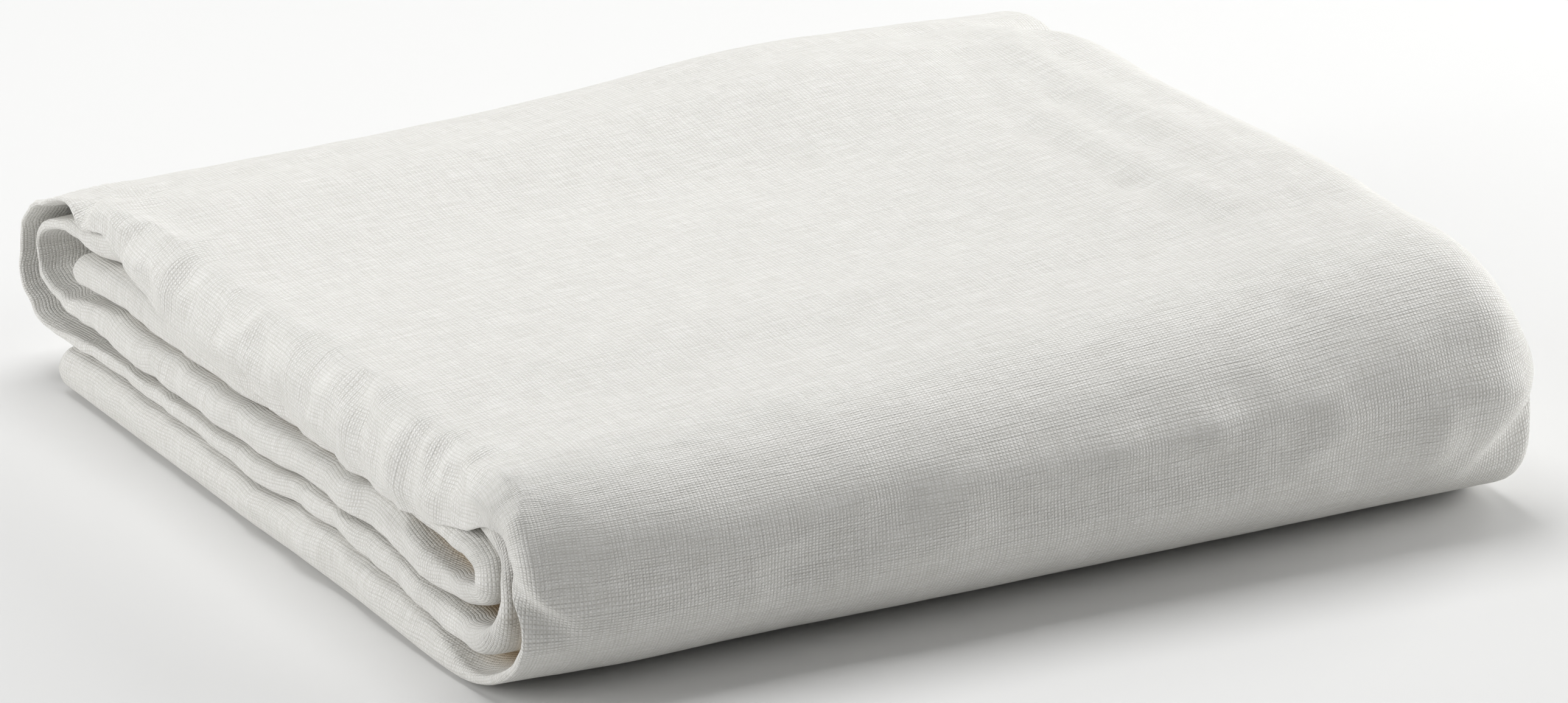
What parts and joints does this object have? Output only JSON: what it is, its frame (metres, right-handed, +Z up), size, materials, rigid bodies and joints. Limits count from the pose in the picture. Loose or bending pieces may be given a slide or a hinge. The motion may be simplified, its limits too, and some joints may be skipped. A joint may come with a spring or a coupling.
{
  "type": "folded bed sheet",
  "caption": "Washed linen bed sheet folded into a thick soft rectangular bundle, with rounded stacked folds showing at both short ends.",
  "frame": {"origin": "middle of the bundle's box, on the surface it lies on", "axes": "+X along the long side, from the open end with the showing folds to the fuller end; +Y from the rounded front to the back; +Z up"},
  "size_m": [0.4032, 0.385, 0.096],
  "materials": {
    "washed_linen": "matt washed linen, plain weave, off-white"
  },
  "bodies": {
    "root": {"folded_sheet": "washed_linen"}
  },
  "joints": []
}
